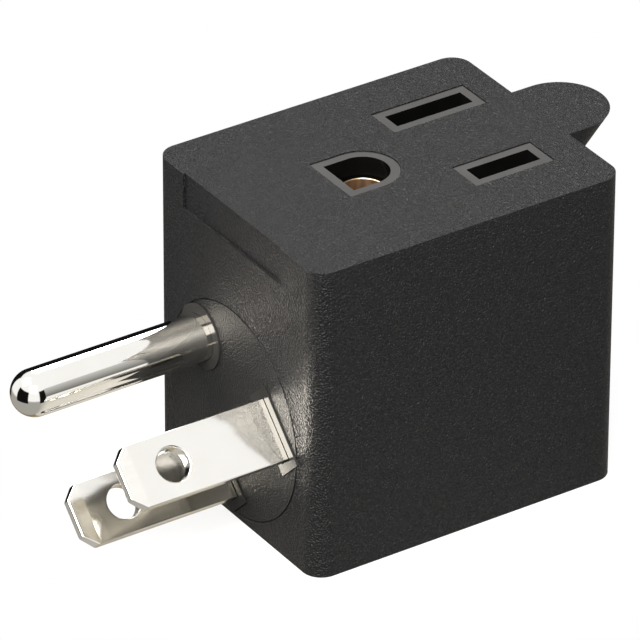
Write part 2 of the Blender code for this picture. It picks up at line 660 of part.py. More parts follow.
def rivet(name, place, finish):
    """A rivet through a contact's base and its strap."""
    low = STRAP_RUN - STRAP_THICKNESS / 2 - MOULDED
    high = CONTACT_BASE + LEAF_THICKNESS / 2 + MOULDED
    profile = [
        (0.0, high + RIVET_HEAD),
        (RIVET_CROWN_RADIUS, high + RIVET_HEAD),
        (RIVET_HEAD_RADIUS, high + RIVET_HEAD / 2),
        (RIVET_HEAD_RADIUS, high),
        (RIVET_RADIUS, high),
        (RIVET_RADIUS, low),
        (RIVET_HEAD_RADIUS, low),
        (RIVET_HEAD_RADIUS, low - RIVET_HEAD / 2),
        (RIVET_CROWN_RADIUS, low - RIVET_HEAD),
        (0.0, low - RIVET_HEAD),
    ]
    return settle(turned(name, profile, "XY", place, finish, 20))


def contact_cover(finish):
    """The tray under the straps: a rim that meets the outlet block, and pegs that locate it."""
    rim_top = BLOCK_BOTTOM - SEATED
    body = prism("contact_cover", block_outline(), COVER_BOTTOM, rim_top, finish=finish)
    pegs = [prism(f"peg_{i}", circle(place, PEG_RADIUS, 20), COVER_TOP, BLOCK_BOTTOM + PEG_LENGTH)
            for i, place in enumerate(peg_places())]

    tools = []
    run_top = rim_top + BITE
    for name, pin, slot_x, slot_length in (
        ("line", LINE_PIN, LINE_SLOT_X, LINE_SLOT),
        ("neutral", NEUTRAL_PIN, NEUTRAL_SLOT_X, NEUTRAL_SLOT),
    ):
        limits = strap_edges(pin, slot_x)
        jog = BLOCK_FRONT + JOG_START
        stations = [BLOCK_FRONT - BITE, jog, jog + JOG_LENGTH, SLOT_Y + slot_length / 2 + LOOSE]
        left = [(limits(y, 0)[0] - LOOSE, y) for y in stations]
        right = [(limits(y, 0)[1] + LOOSE, y) for y in stations]
        tools.append(prism(name + "_channel", left + right[::-1], COVER_TOP, run_top))
        base_room = rectangle((slot_x, SLOT_Y), SLOT_WELL_WIDTH, slot_length + 2 * WELL_MARGIN)
        tools.append(prism(name + "_base_room", base_room, STRAP_RUN, run_top))
        for i, place in enumerate(rivet_places(slot_x)):
            head = circle(place, RIVET_HEAD_RADIUS + SEATED, 20)
            tools.append(prism(f"{name}_head_room_{i}", head, COVER_TOP - RIVET_HEAD - SEATED, run_top))
    combine(body, tools)
    return settle(combine(body, pegs, "UNION"))


def build():
    for thing in list(bpy.data.objects):
        bpy.data.objects.remove(thing)

    grained_black = material("grained_black", (0.032, 0.031, 0.030), 0.55)
    smooth_black = material("smooth_black", (0.045, 0.045, 0.045), 0.35)
    nickel = material("nickel_plate", (0.78, 0.75, 0.70), 0.12, 1.0)
    brass = material("brass", (0.74, 0.55, 0.27), 0.30, 1.0)
    bronze = material("phosphor_bronze", (0.72, 0.42, 0.25), 0.25, 1.0)

    jacket(grained_black)
    plug_block(smooth_black)
    pin_retainer(smooth_black)
    outlet_block(smooth_black)
    contact_cover(smooth_black)

    ground_pin(nickel)
    blade("line_blade", LINE_PIN, nickel)
    blade("neutral_blade", NEUTRAL_PIN, nickel)
    ground_contact(bronze)

    poles = (
        ("line", LINE_PIN, LINE_PIN[1] + PAD_OVERHANG, LINE_SLOT_X, LINE_SLOT),
        ("neutral", NEUTRAL_PIN, NEUTRAL_PIN[1] - PAD_OVERHANG, NEUTRAL_SLOT_X, NEUTRAL_SLOT),
    )
    for name, pin, outer_end, slot_x, slot_length in poles:
        strap(name + "_strap", pin, outer_end, slot_x, slot_length, brass)
        slot_contact(name + "_contact", slot_x, slot_length, bronze)
        for i, place in enumerate(rivet_places(slot_x)):
            rivet(f"{name}_rivet_{i + 1}", place, brass)


build()
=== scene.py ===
"""Looks of the right angle plug adapter: finer pieces over the CAD frame, materials, light, camera."""

import math

import bmesh
import bpy
from mathutils import Matrix, Vector


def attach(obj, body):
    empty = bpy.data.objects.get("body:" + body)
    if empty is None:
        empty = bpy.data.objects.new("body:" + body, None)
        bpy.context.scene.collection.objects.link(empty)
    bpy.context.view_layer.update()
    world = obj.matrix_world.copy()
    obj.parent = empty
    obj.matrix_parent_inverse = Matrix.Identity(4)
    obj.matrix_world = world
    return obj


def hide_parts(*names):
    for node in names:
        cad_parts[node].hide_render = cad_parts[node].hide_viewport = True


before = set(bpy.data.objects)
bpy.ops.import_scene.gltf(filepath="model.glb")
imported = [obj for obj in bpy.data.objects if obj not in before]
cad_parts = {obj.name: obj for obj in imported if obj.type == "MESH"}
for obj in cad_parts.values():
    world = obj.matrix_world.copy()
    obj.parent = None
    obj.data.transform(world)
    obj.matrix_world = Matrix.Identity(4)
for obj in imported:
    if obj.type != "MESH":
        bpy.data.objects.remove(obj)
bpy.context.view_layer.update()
MM = 0.001

# Sizes that the finer pieces share with the CAD solids, in metres. Y runs from the plug face to the
# back and Z is up. First the jacket: its body, the ring round its pad, its panel and its tab.
FRONT, BACK = 0.25 * MM, 35.5 * MM
BASE, TOP = -12.05 * MM, 21.85 * MM
BODY_WIDTH, CORNER = 28.2 * MM, 2.1 * MM
PAD_RADIUS, GROOVE_WIDTH, GROOVE_FLOOR = 11.15 * MM, 0.12 * MM, 0.2 * MM
RING_RADIUS, RING_TOP, RING_RIM = 11.95 * MM, 0.05 * MM, FRONT + 0.01 * MM
PANEL_LEFT, PANEL_RIGHT, PANEL_LOW, PANEL_DEPTH = -8.975 * MM, 7.875 * MM, 18.05 * MM, 0.25 * MM
TAB_RADIUS, TAB_REACH, TAB_HEIGHT, TAB_ROOT = 4.85 * MM, 7.2 * MM, 9.4 * MM, 4.0 * MM
FOOT_RADIUS, FOOT_INSET = 2.5 * MM, 0.3 * MM

# The outlet: the places of its openings, the block round them and the room that the jacket leaves it
OUTLET_X, SLOT_Y, GROUND_Y = -0.3 * MM, 27.0 * MM, 15.1 * MM
HALF_SPACING, SLOT_WIDTH, WELL_WIDTH = 6.35 * MM, 2.2 * MM, 5.7 * MM
SLOTS = (  # name, x, length of the slot, length of the well below it
    ("line", OUTLET_X + HALF_SPACING, 7.1 * MM, 7.9 * MM),
    ("neutral", OUTLET_X - HALF_SPACING, 8.8 * MM, 9.6 * MM),
)
WELL_TOP, GROUND_WELL_TOP, GROUND_WELL_RADIUS = 18.55 * MM, 19.75 * MM, 2.85 * MM
OPENING_RADIUS, OPENING_FLAT, OPENING_LOW = 2.65 * MM, 2.8 * MM, 19.0 * MM
COLLAR_BORDER, COLLAR_TOP = 0.95 * MM, 21.75 * MM
BLOCK_Y, BLOCK_WIDTH, BLOCK_LENGTH, BLOCK_CORNER = 22.025 * MM, 21.4 * MM, 22.55 * MM, 1.0 * MM
BLOCK_LOW, BLOCK_TOP = -0.05 * MM, 20.15 * MM
ROOM_WIDTH, ROOM_LENGTH, ROOM_LOW = 21.6 * MM, 22.75 * MM, -3.75 * MM
TAIL_ROOM_X, TAIL_ROOM_FRONT, TAIL_ROOM_BACK, TAIL_ROOM_TOP = -8.35 * MM, 9.0 * MM, 14.2 * MM, 8.35 * MM

# The plug, which is turned on its face: its block with three bosses, and the pins
TURN = math.radians(45)
BLADE_DROP, GROUND_RISE = 4.05 * MM, 7.85 * MM
INSERT_RADIUS, INSERT_FRONT, INSERT_BACK = 11.0 * MM, 1.5 * MM, 5.2 * MM
PLUG_ROOM_RADIUS, PLUG_ROOM_FRONT, PLUG_ROOM_BACK = 11.1 * MM, 1.45 * MM, 7.15 * MM
BOSS_FACE, BOSS_ROOT, BOSS_BORDER, GROUND_BOSS_RADIUS = -0.15 * MM, 2.45 * MM, 1.0 * MM, 3.375 * MM
SEAT_FRONT, SEAT_BACK, BORE_BACK = 4.0 * MM, 5.2 * MM, 6.0 * MM
BLADE_THICKNESS, BLADE_WIDTH, BLADE_REACH = 1.5 * MM, 6.35 * MM, 16.95 * MM
HOLE_REACH, HOLE_RADIUS = 11.55 * MM, 1.72 * MM
PIN_RADIUS, PIN_REACH = 2.375 * MM, 21.0 * MM

SEAM = 0.05 * MM     # between the jacket and what it holds
DEEP = 1.0 * MM      # how far a cutting tool runs past the face that it cuts
OVERLAP = DEEP / 2   # how far a joined shape runs into the body
WELD = 2e-7          # points closer than this are one point

PLANES = {
    "XY": lambda a, b, out: (a, b, out),
    "XZ": lambda a, b, out: (a, out, b),
    "YZ": lambda a, b, out: (out, a, b),
}


def plug_point(sideways, drop):
    """The X and Z of a point on the turned plug face."""
    x = sideways * math.cos(TURN) + drop * math.sin(TURN)
    return x, sideways * math.sin(TURN) - drop * math.cos(TURN)


LINE_PIN = plug_point(HALF_SPACING, BLADE_DROP)
NEUTRAL_PIN = plug_point(-HALF_SPACING, BLADE_DROP)
GROUND_PIN = plug_point(0.0, -GROUND_RISE)


# Outlines, as lists of points on a plane
def arc(centre, radius, start, end, steps):
    angles = [math.radians(start + (end - start) * i / steps) for i in range(steps + 1)]
    return [(centre[0] + radius * math.cos(a), centre[1] + radius * math.sin(a)) for a in angles]


def circle(centre, radius, steps=96):
    return arc(centre, radius, 0, 360, steps)[:-1]


def rectangle(centre, width, height):
    (x, y), hx, hy = centre, width / 2, height / 2
    return [(x - hx, y - hy), (x + hx, y - hy), (x + hx, y + hy), (x - hx, y + hy)]


def rounded(centre, width, height, radius, steps=20):
    inner = rectangle(centre, width - 2 * radius, height - 2 * radius)
    corners = [arc(inner[i], radius, 180 + 90 * i, 270 + 90 * i, steps) for i in range(4)]
    return [point for corner in corners for point in corner]


def turned_rectangle(centre, sideways, drop):
    signs = ((-1, -1), (1, -1), (1, 1), (-1, 1))
    offsets = [plug_point(s * sideways / 2, d * drop / 2) for s, d in signs]
    return [(centre[0] + x, centre[1] + z) for x, z in offsets]


def ground_outline(grow=0.0):
    side = arc((OUTLET_X, GROUND_Y), OPENING_RADIUS + grow, 0, 180, 48)
    flat, half = GROUND_Y - OPENING_FLAT - grow, OPENING_RADIUS + grow
    return side + [(OUTLET_X - half, flat), (OUTLET_X + half, flat)]


def collars(grow):
    """The outer outlines of the collars round the outlet's three openings."""
    edge = 2 * (COLLAR_BORDER + grow)
    frames = [rectangle((x, SLOT_Y), SLOT_WIDTH + edge, length + edge) for _, x, length, _ in SLOTS]
    return frames + [ground_outline(COLLAR_BORDER + grow)]


def bosses(grow):
    """The outlines of the bosses round the plug's three pins."""
    edge = 2 * (BOSS_BORDER + grow)
    blades = [turned_rectangle(pin, BLADE_THICKNESS + edge, BLADE_WIDTH + edge)
              for pin in (LINE_PIN, NEUTRAL_PIN)]
    return blades + [circle(GROUND_PIN, GROUND_BOSS_RADIUS + grow)]


def tab_outline(radius, centre_y):
    root = BACK - TAB_ROOT
    return [(radius, root)] + arc((0.0, centre_y), radius, 0, 180, 64) + [(-radius, root)]


# Bodies, and the work done on them
def body_of(name, mesh):
    shape = bmesh.new()
    shape.from_mesh(mesh)
    bmesh.ops.remove_doubles(shape, verts=shape.verts, dist=WELD)
    bmesh.ops.recalc_face_normals(shape, faces=shape.faces)
    shape.to_mesh(mesh)
    shape.free()
    body = bpy.data.objects.new(name, mesh)
    bpy.context.scene.collection.objects.link(body)
    return body


def solid(name, rings):
    """A closed body through rings of points, each with the same count."""
    count, last = len(rings[0]), (len(rings) - 1) * len(rings[0])
    faces = [tuple(range(count)), tuple(range(last, last + count))]
    for start in range(0, last, count):
        for i in range(count):
            after = (i + 1) % count
            faces.append((start + i, start + after, start + count + after, start + count + i))
    mesh = bpy.data.meshes.new(name)
    mesh.from_pydata([point for ring in rings for point in ring], [], faces)
    return body_of(name, mesh)


def prism(name, outline, low, high, plane="XY"):
    place = PLANES[plane]
    return solid(name, [[place(a, b, level) for a, b in outline] for level in (low, high)])


def turned(name, profile, centre, steps):
    """A profile of (radius, y) spun round an axis along Y through the centre's X and Z."""
    shape = bmesh.new()
    corners = [shape.verts.new((radius, along, 0.0)) for radius, along in profile]
    edges = [shape.edges.new(pair) for pair in zip(corners, corners[1:])]
    bmesh.ops.spin(shape, geom=corners + edges, cent=(0, 0, 0), axis=(0, 1, 0),
                   angle=2 * math.pi, steps=steps)
    bmesh.ops.translate(shape, vec=(centre[0], 0.0, centre[1]), verts=shape.verts)
    mesh = bpy.data.meshes.new(name)
    shape.to_mesh(mesh)
    shape.free()
    return body_of(name, mesh)


def combine(body, tools, operation="DIFFERENCE"):
    for tool in tools:
        step = body.modifiers.new(tool.name, "BOOLEAN")
        step.operation = operation
        step.solver = "EXACT"
        step.object = tool
    return settle(body)


def settle(body):
    """Applies the modifiers and removes the objects they used."""
    bpy.context.view_layer.update()
    shown = body.evaluated_get(bpy.context.evaluated_depsgraph_get())
    mesh = bpy.data.meshes.new_from_object(shown)
    tools = [step.object for step in body.modifiers if step.type == "BOOLEAN"]
    body.modifiers.clear()
    body.data = mesh
    for tool in tools:
        bpy.data.objects.remove(tool)
    return body


def ease_edges(body, width, segments=2, angle=30, clamp=True):
    """Moulded and coined parts have no knife edges: a hair of radius on each, then smooth shading."""
    step = body.modifiers.new("edges", "BEVEL")
    step.width = width
    step.segments = segments
    step.limit_method = "ANGLE"
    step.angle_limit = math.radians(angle)
    step.harden_normals = True
    step.use_clamp_overlap = clamp
    body.data.shade_smooth()
    if not clamp:
        mark_creases(body.data, low=10, high=angle)
    return settle(body)


def mark_creases(mesh, low, high):
    """Keeps the shallow coined creases crisp where no radius is put on them."""
    shape = bmesh.new()
    shape.from_mesh(mesh)
    for edge in shape.edges:
        if len(edge.link_faces) == 2 and low < math.degrees(edge.calc_face_angle()) < high:
            edge.smooth = False
    shape.to_mesh(mesh)
    shape.free()


# Materials. A noise's scale is in waves for each metre.
FINE_GRAIN, DRAWN_LINES = 5200.0, 2600.0
WHITE = (1.0, 1.0, 1.0)
NICKEL = (0.86, 0.84, 0.79), (0.90, 0.885, 0.84)
BRONZE = (0.42, 0.29, 0.19), (0.48, 0.335, 0.225)
BRASS = (0.72, 0.53, 0.25), (0.80, 0.62, 0.33)


def shader_of(name):
    made = bpy.data.materials.new(name)
    made.use_nodes = True
    tree = made.node_tree
    shader = tree.nodes["Principled BSDF"]
    where = tree.nodes.new("ShaderNodeTexCoord").outputs["Object"]
    return made, tree, shader, where


def stretched(tree, where, scale):
    node = tree.nodes.new("ShaderNodeMapping")
    node.inputs["Scale"].default_value = scale
    tree.links.new(where, node.inputs["Vector"])
    return node.outputs["Vector"]


def noise(tree, where, scale, detail=2.0, roughness=0.5):
    node = tree.nodes.new("ShaderNodeTexNoise")
    node.inputs["Scale"].default_value = scale
    node.inputs["Detail"].default_value = detail
    node.inputs["Roughness"].default_value = roughness
    tree.links.new(where, node.inputs["Vector"])
    return node.outputs["Fac"]


def spread(tree, value, low, high, start=0.3, end=0.7):
    """The value between start and end, mapped onto low to high."""
    node = tree.nodes.new("ShaderNodeMapRange")
    numbers = (("From Min", start), ("From Max", end), ("To Min", low), ("To Max", high))
    for name, number in numbers:
        node.inputs[name].default_value = number
    tree.links.new(value, node.inputs["Value"])
    return node.outputs["Result"]


def tinted(tree, value, dark, light, start=0.3, end=0.7):
    """The value between start and end, mapped onto dark to light."""
    node = tree.nodes.new("ShaderNodeValToRGB")
    ramp = node.color_ramp
    ramp.elements[0].position, ramp.elements[1].position = start, end
    ramp.elements[0].color, ramp.elements[1].color = (*dark, 1.0), (*light, 1.0)
    tree.links.new(value, node.inputs["Fac"])
    return node.outputs["Color"]


def bumped(tree, shader, layers):
    """Stacks bumps from (height, strength, distance) and feeds them to the shader."""
    normal = None
    for height, strength, distance in layers:
        node = tree.nodes.new("ShaderNodeBump")
        node.inputs["Strength"].default_value = strength
        node.inputs["Distance"].default_value = distance
        tree.links.new(height, node.inputs["Height"])
        if normal:
            tree.links.new(normal, node.inputs["Normal"])
        normal = node.outputs["Normal"]
    tree.links.new(normal, shader.inputs["Normal"])


def grained_plastic():
    """Fine moulded sand grain: shallow pits that are duller than the lands between them."""
    made, tree, shader, where = shader_of("grained_black")
    grain = noise(tree, where, FINE_GRAIN, detail=1.0)
    cloud = noise(tree, where, 160.0, detail=3.0)
    pit, land = (0.0014, 0.0015, 0.0018), (0.0054, 0.0057, 0.0067)
    dullness = spread(tree, grain, 0.54, 0.37, start=0.35, end=0.65)
    shader.inputs["Specular IOR Level"].default_value = 0.14
    tree.links.new(tinted(tree, grain, pit, land), shader.inputs["Base Color"])
    tree.links.new(dullness, shader.inputs["Roughness"])
    height = spread(tree, grain, 0.0, 1.0)
    bumped(tree, shader, [(height, 1.0, 0.105 * MM), (cloud, 0.1, 0.05 * MM)])
    return made


def smooth_plastic(name, light, level):
    """Polished moulding with faint clouds. The level is that of its reflections."""
    made, tree, shader, where = shader_of(name)
    cloud = noise(tree, where, 260.0, detail=4.0)
    fine = noise(tree, where, FINE_GRAIN)
    dark = light * 0.6
    shader.inputs["Specular IOR Level"].default_value = level
    tree.links.new(tinted(tree, cloud, (dark,) * 3, (light,) * 3), shader.inputs["Base Color"])
    tree.links.new(spread(tree, cloud, 0.11, 0.17), shader.inputs["Roughness"])
    bumped(tree, shader, [(fine, 0.12, 0.01 * MM)])
    return made


def plated_metal(name, colours, low, high, along):
    """Bright rolled metal: faint drawing lines, a little haze, small colour drift."""
    made, tree, shader, where = shader_of(name)
    lines = noise(tree, stretched(tree, where, along), DRAWN_LINES, detail=3.0, roughness=0.6)
    haze = noise(tree, where, 220.0, detail=3.0)
    shader.inputs["Metallic"].default_value = 1.0
    tree.links.new(tinted(tree, haze, *colours), shader.inputs["Base Color"])
    tree.links.new(spread(tree, lines, low, high), shader.inputs["Roughness"])
    bumped(tree, shader, [(lines, 0.06, 0.004 * MM)])
    return made


grained = grained_plastic()
smooth = smooth_plastic("smooth_black", light=0.016, level=0.018)
satin = smooth_plastic("satin_black", light=0.016, level=0.028)
# Painted shade for the slot walls and the wells: the block's plastic made near black
painted_well_shade = smooth_plastic("painted_shade_black", light=0.0015, level=0.02)
nickel = plated_metal("nickel_plate", NICKEL, low=0.035, high=0.07, along=(1.0, 0.06, 1.0))
sheet = plated_metal("nickel_sheet", NICKEL, low=0.09, high=0.13, along=(1.0, 0.06, 1.0))
bronze = plated_metal("phosphor_bronze", BRONZE, low=0.30, high=0.40, along=(1.0, 1.0, 0.1))
brass = plated_metal("brass", BRASS, low=0.2, high=0.34, along=(1.0, 0.1, 1.0))


def dress(piece, finish, node=None):
    """Gives a piece its finish and, for a new piece, hides the CAD node that it stands for and hangs the
    piece under the root body.
    """
    piece.data.materials.clear()
    piece.data.materials.append(finish)
    if node:
        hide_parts(node)
        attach(piece, "root")
    return piece


def jacket():
    """The moulded body with its tab and pad, cut for the panel and for the two inner blocks."""
    middle = (0.0, (FRONT + BACK) / 2)
    body = prism("jacket_skin", rounded(middle, BODY_WIDTH, BACK - FRONT, CORNER), BASE, TOP)
    lip = tab_outline(TAB_RADIUS, BACK + TAB_REACH - TAB_RADIUS)
    foot = tab_outline(FOOT_RADIUS, BACK - FOOT_RADIUS - FOOT_INSET)
    levels = [[(x, y, TOP) for x, y in lip], [(x, y, TOP - TAB_HEIGHT) for x, y in foot]]
    groove_edge = PAD_RADIUS + GROOVE_WIDTH
    profile = [
        (0.0, 0.0), (PAD_RADIUS, 0.0), (PAD_RADIUS, GROOVE_FLOOR), (groove_edge, GROOVE_FLOOR),
        (groove_edge, RING_TOP), (RING_RADIUS, RING_RIM), (RING_RADIUS, FRONT + OVERLAP),
        (0.0, FRONT + OVERLAP),
    ]
    tab = solid("tab_form", levels)
    combine(body, [tab, turned("pad_form", profile, (0.0, 0.0), 192)], "UNION")
    panel = [(PANEL_LEFT, PANEL_LOW), (PANEL_RIGHT, PANEL_LOW),
             (PANEL_RIGHT, TOP + DEEP), (PANEL_LEFT, TOP + DEEP)]
    cuts = [prism("panel_cut", panel, -DEEP, FRONT + PANEL_DEPTH, "XZ")]
    for i, outline in enumerate(collars(SEAM)):
        cuts.append(prism(f"window_{i}", outline, BLOCK_TOP - DEEP, TOP + DEEP))
    for i, outline in enumerate(bosses(SEAM)):
        cuts.append(prism(f"boss_window_{i}", outline, -DEEP, BOSS_ROOT, "XZ"))
    room = rounded((OUTLET_X, BLOCK_Y), ROOM_WIDTH, ROOM_LENGTH, BLOCK_CORNER, 4)
    cuts.append(prism("outlet_room", room, ROOM_LOW, BLOCK_TOP + SEAM))
    round_room = circle((0.0, 0.0), PLUG_ROOM_RADIUS)
    cuts.append(prism("plug_room", round_room, PLUG_ROOM_FRONT, PLUG_ROOM_BACK, "XZ"))
    combine(body, cuts)
    return dress(ease_edges(body, width=0.05 * MM), grained, "jacket")


def outlet_block():
    """The inner block of the outlet, with a collar, an opening and a well for each contact."""
    outline = rounded((OUTLET_X, BLOCK_Y), BLOCK_WIDTH, BLOCK_LENGTH, BLOCK_CORNER, 6)
    block = prism("outlet_insert", outline, BLOCK_LOW, BLOCK_TOP)
    combine(block, [prism(f"collar_{i}", ring, BLOCK_TOP - OVERLAP, COLLAR_TOP)
                    for i, ring in enumerate(collars(0.0))], "UNION")
    below, above, rim = BLOCK_LOW - DEEP, TOP + DEEP, 0.04 * MM
    ground_well = circle((OUTLET_X, GROUND_Y), GROUND_WELL_RADIUS)
    tail_room = [(TAIL_ROOM_X, TAIL_ROOM_FRONT), (OUTLET_X, TAIL_ROOM_FRONT),
                 (OUTLET_X, TAIL_ROOM_BACK), (TAIL_ROOM_X, TAIL_ROOM_BACK)]
    cuts = [prism("ground_opening", ground_outline(), OPENING_LOW, above),
            prism("ground_well", ground_well, below, GROUND_WELL_TOP)]
    for name, x, slot, _ in SLOTS:
        opening = rectangle((x, SLOT_Y), SLOT_WIDTH, slot)
        cuts.append(prism(name + "_opening", opening, below, above))
    for name, x, _, well in SLOTS:
        cuts.append(prism(name + "_well", rectangle((x, SLOT_Y), WELL_WIDTH, well), below, WELL_TOP))
    cuts.append(prism("tail_room", tail_room, below, TAIL_ROOM_TOP))
    combine(block, cuts)
    dress(ease_edges(block, width=0.02 * MM), smooth, "outlet_block")
    block.data.materials.append(painted_well_shade)
    # The walls inside the collars, and all that lies below the collars, take painted shade: a near-black
    # copy of the block's own plastic.
    for face in block.data.polygons:
        wall = abs(face.normal.z) < 0.5 and face.center.z < COLLAR_TOP - rim
        if wall or face.center.z < BLOCK_TOP - 0.1 * MM:
            face.material_index = 1
    return block


def plug_block():
    """The inner block of the plug, with a boss, a slot or bore, and a seat for each pin."""
    outline = circle((0.0, 0.0), INSERT_RADIUS)
    block = prism("plug_insert", outline, INSERT_FRONT, INSERT_BACK, "XZ")
    combine(block, [prism(f"boss_{i}", ring, BOSS_FACE, BOSS_ROOT - SEAM, "XZ")
                    for i, ring in enumerate(bosses(0.0))], "UNION")
    bore_radius, mouth_radius, bore_front = 2.85 * MM, 2.4 * MM, 3.9 * MM
    seat_size, seat_front = (1.8 * MM, 7.5 * MM), 3.95 * MM
    slot_size, slot_back = (1.7 * MM, 6.45 * MM), 4.1 * MM
    cuts = [prism("ground_bore", circle(GROUND_PIN, bore_radius), bore_front, BORE_BACK, "XZ"),
            prism("ground_mouth", circle(GROUND_PIN, mouth_radius), -DEEP, SEAT_FRONT, "XZ")]
    for i, pin in enumerate((LINE_PIN, NEUTRAL_PIN)):
        seat, slot = turned_rectangle(pin, *seat_size), turned_rectangle(pin, *slot_size)
        cuts.append(prism(f"seat_{i}", seat, seat_front, BORE_BACK, "XZ"))
        cuts.append(prism(f"slot_{i}", slot, -DEEP, slot_back, "XZ"))
    combine(block, cuts)
    return dress(ease_edges(block, width=0.02 * MM), satin, "plug_block")


def ground_pin():
    """A turned pin: domed tip, shank, flange, tail, and a tenon with a staked head."""
    tip = BOSS_FACE - PIN_REACH
    flange, tail, tenon, stake = 2.75 * MM, 1.7 * MM, 1.2 * MM, 1.8 * MM
    tail_end, stake_start, end = 12.45 * MM, 13.05 * MM, 13.65 * MM
    angles = [math.radians(3 * i) for i in range(31)]
    profile = [(PIN_RADIUS * math.sin(a), tip + PIN_RADIUS * (1 - math.cos(a))) for a in angles]
    profile += [
        (PIN_RADIUS, SEAT_FRONT), (flange, SEAT_FRONT), (flange, SEAT_BACK), (tail, SEAT_BACK),
        (tail, tail_end), (tenon, tail_end), (tenon, stake_start), (stake, stake_start),
        (tenon, end), (0.0, end),
    ]
    pin = turned("ground_pin_finish", profile, GROUND_PIN, 144)
    ease_edges(pin, width=0.03 * MM, segments=1)
    return dress(pin, nickel, "ground_pin")


def blade(name, pin, node):
    """A blade with a cut and bevelled tip, coined edges, a rolled hole, two lugs and a staked tenon."""
    tip = BOSS_FACE - BLADE_REACH
    half, thick, thin = 3.175 * MM, 0.75 * MM, 0.48 * MM
    corner, bevel, lug = 1.3 * MM, 1.5 * MM, half + 0.52 * MM
    tail, tenon, stake = 2.1 * MM, 1.3 * MM, 1.9 * MM
    tail_end, stake_start, end = 7.15 * MM, 8.1 * MM, 8.7 * MM
    past_end, past_lugs = 10.0 * MM, 8.0 * MM
    side = [
        (half - corner, tip), (half, tip + corner), (half, SEAT_FRONT), (lug, SEAT_FRONT),
        (lug, SEAT_BACK), (tail, SEAT_BACK), (tail, tail_end), (tenon, tail_end),
        (tenon, stake_start), (stake, stake_start), (tenon, end),
    ]
    outline = [(y, across) for across, y in side] + [(y, -across) for across, y in reversed(side)]
    made = prism(name, outline, -thick, thick, "YZ")
    edge = [(thin, tip), (thick, tip + bevel), (thick, past_end)]
    wedge = edge + [(-x, y) for x, y in reversed(edge)]
    combine(made, [prism(name + "_coined", wedge, -past_lugs, past_lugs)], "INTERSECT")
    roll = 0.18 * MM
    angles = [math.radians(7.5 * i) for i in range(13)]
    rim = [(roll * (1 - math.cos(a)), roll * (1 - math.sin(a))) for a in angles]
    reach = [(-DEEP, roll)] + [(x - thick, grow) for x, grow in rim]
    reach += [(-x, grow) for x, grow in reversed(reach)]
    centre = (BOSS_FACE - HOLE_REACH, 0.0)
    rings = [[(x, a, b) for a, b in circle(centre, HOLE_RADIUS + grow)] for x, grow in reach]
    combine(made, [solid(name + "_hole", rings)])
    ease_edges(made, width=0.10 * MM, segments=3, angle=20, clamp=False)
    across, up = math.cos(TURN), math.sin(TURN)
    for vertex in made.data.vertices:
        x, y, z = vertex.co
        vertex.co = (pin[0] + x * across - z * up, y, pin[1] + x * up + z * across)
    return dress(made, sheet, node)


def ground_contact():
    """The rolled ground contact: a tube with a rounded lip, and the tail that the ground pin holds."""
    half, radius, tail_y = 0.2 * MM, 2.35 * MM, 12.75 * MM
    low, tail_top, lip = 3.05 * MM, 8.05 * MM, 19.65 * MM
    tail_start, tail_end = -8.05 * MM, -1.475 * MM
    hole_radius, hole_front, hole_back = 1.3 * MM, 12.0 * MM, 13.5 * MM
    stations = [((x, tail_y), (0.0, -1.0), tail_top) for x in (tail_start, tail_end)]
    for degrees in range(-90, 221, 5):
        out = (math.cos(math.radians(degrees)), math.sin(math.radians(degrees)))
        stations.append(((OUTLET_X + radius * out[0], GROUND_Y + radius * out[1]), out, lip))
    rings = []
    for (x, y), (nx, ny), top in stations:
        section = [(half, top - 1.5 * half), (half, low), (-half, low)]
        section += arc((-half / 2, top - half / 2), half / 2, 180, 60, 8)
        rings.append([(x + across * nx, y + across * ny, z) for across, z in section])
    made = solid("ground_contact_finish", rings)
    tenon_hole = circle(GROUND_PIN, hole_radius, 48)
    combine(made, [prism("tenon_hole", tenon_hole, hole_front, hole_back, "XZ")])
    made.data.shade_smooth()
    made.data.set_sharp_from_angle(angle=math.radians(35))
    return dress(made, bronze, "ground_contact")


jacket()
outlet_block()
plug_block()
ground_pin()
blade("line_blade_finish", LINE_PIN, "line_blade")
blade("neutral_blade_finish", NEUTRAL_PIN, "neutral_blade")
ground_contact()

# The CAD nodes that stay only get a material.
for name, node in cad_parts.items():
    if name in ("line_contact", "neutral_contact"):
        dress(node, bronze)
    elif name.endswith("strap") or "rivet" in name:
        dress(node, brass)
    elif name in ("contact_cover", "pin_retainer"):
        dress(node, smooth)


def pale_floor():
    """A pale plain floor that is faint even in its middle and thins out to nothing."""
    radius, centre_y, sink = 0.14, 0.012, 0.0005 * MM
    fade_centre, fade_start, fade_end, strength = (0.0, 0.016, BASE), 0.016, 0.036, 0.22
    mesh = bpy.data.meshes.new("floor")
    shape = bmesh.new()
    bmesh.ops.create_circle(shape, cap_ends=True, segments=96, radius=radius)
    bmesh.ops.translate(shape, vec=(0.0, centre_y, BASE - sink), verts=shape.verts)
    shape.to_mesh(mesh)
    shape.free()
    laid = bpy.data.objects.new("floor", mesh)
    bpy.context.scene.collection.objects.link(laid)
    made, tree, shader, where = shader_of("floor_paper")
    away = tree.nodes.new("ShaderNodeVectorMath")
    away.operation = "DISTANCE"
    away.inputs[1].default_value = fade_centre
    tree.links.new(where, away.inputs[0])
    cover = spread(tree, away.outputs["Value"], strength, 0.0, fade_start, fade_end)
    tree.links.new(cover, shader.inputs["Alpha"])
    paper = noise(tree, where, 900.0, detail=3.0)
    tree.links.new(tinted(tree, paper, (0.49,) * 3, (0.51,) * 3), shader.inputs["Base Color"])
    shader.inputs["Roughness"].default_value = 0.9
    shader.inputs["Specular IOR Level"].default_value = 0.1
    mesh.materials.append(made)
    return laid


floor = pale_floor()


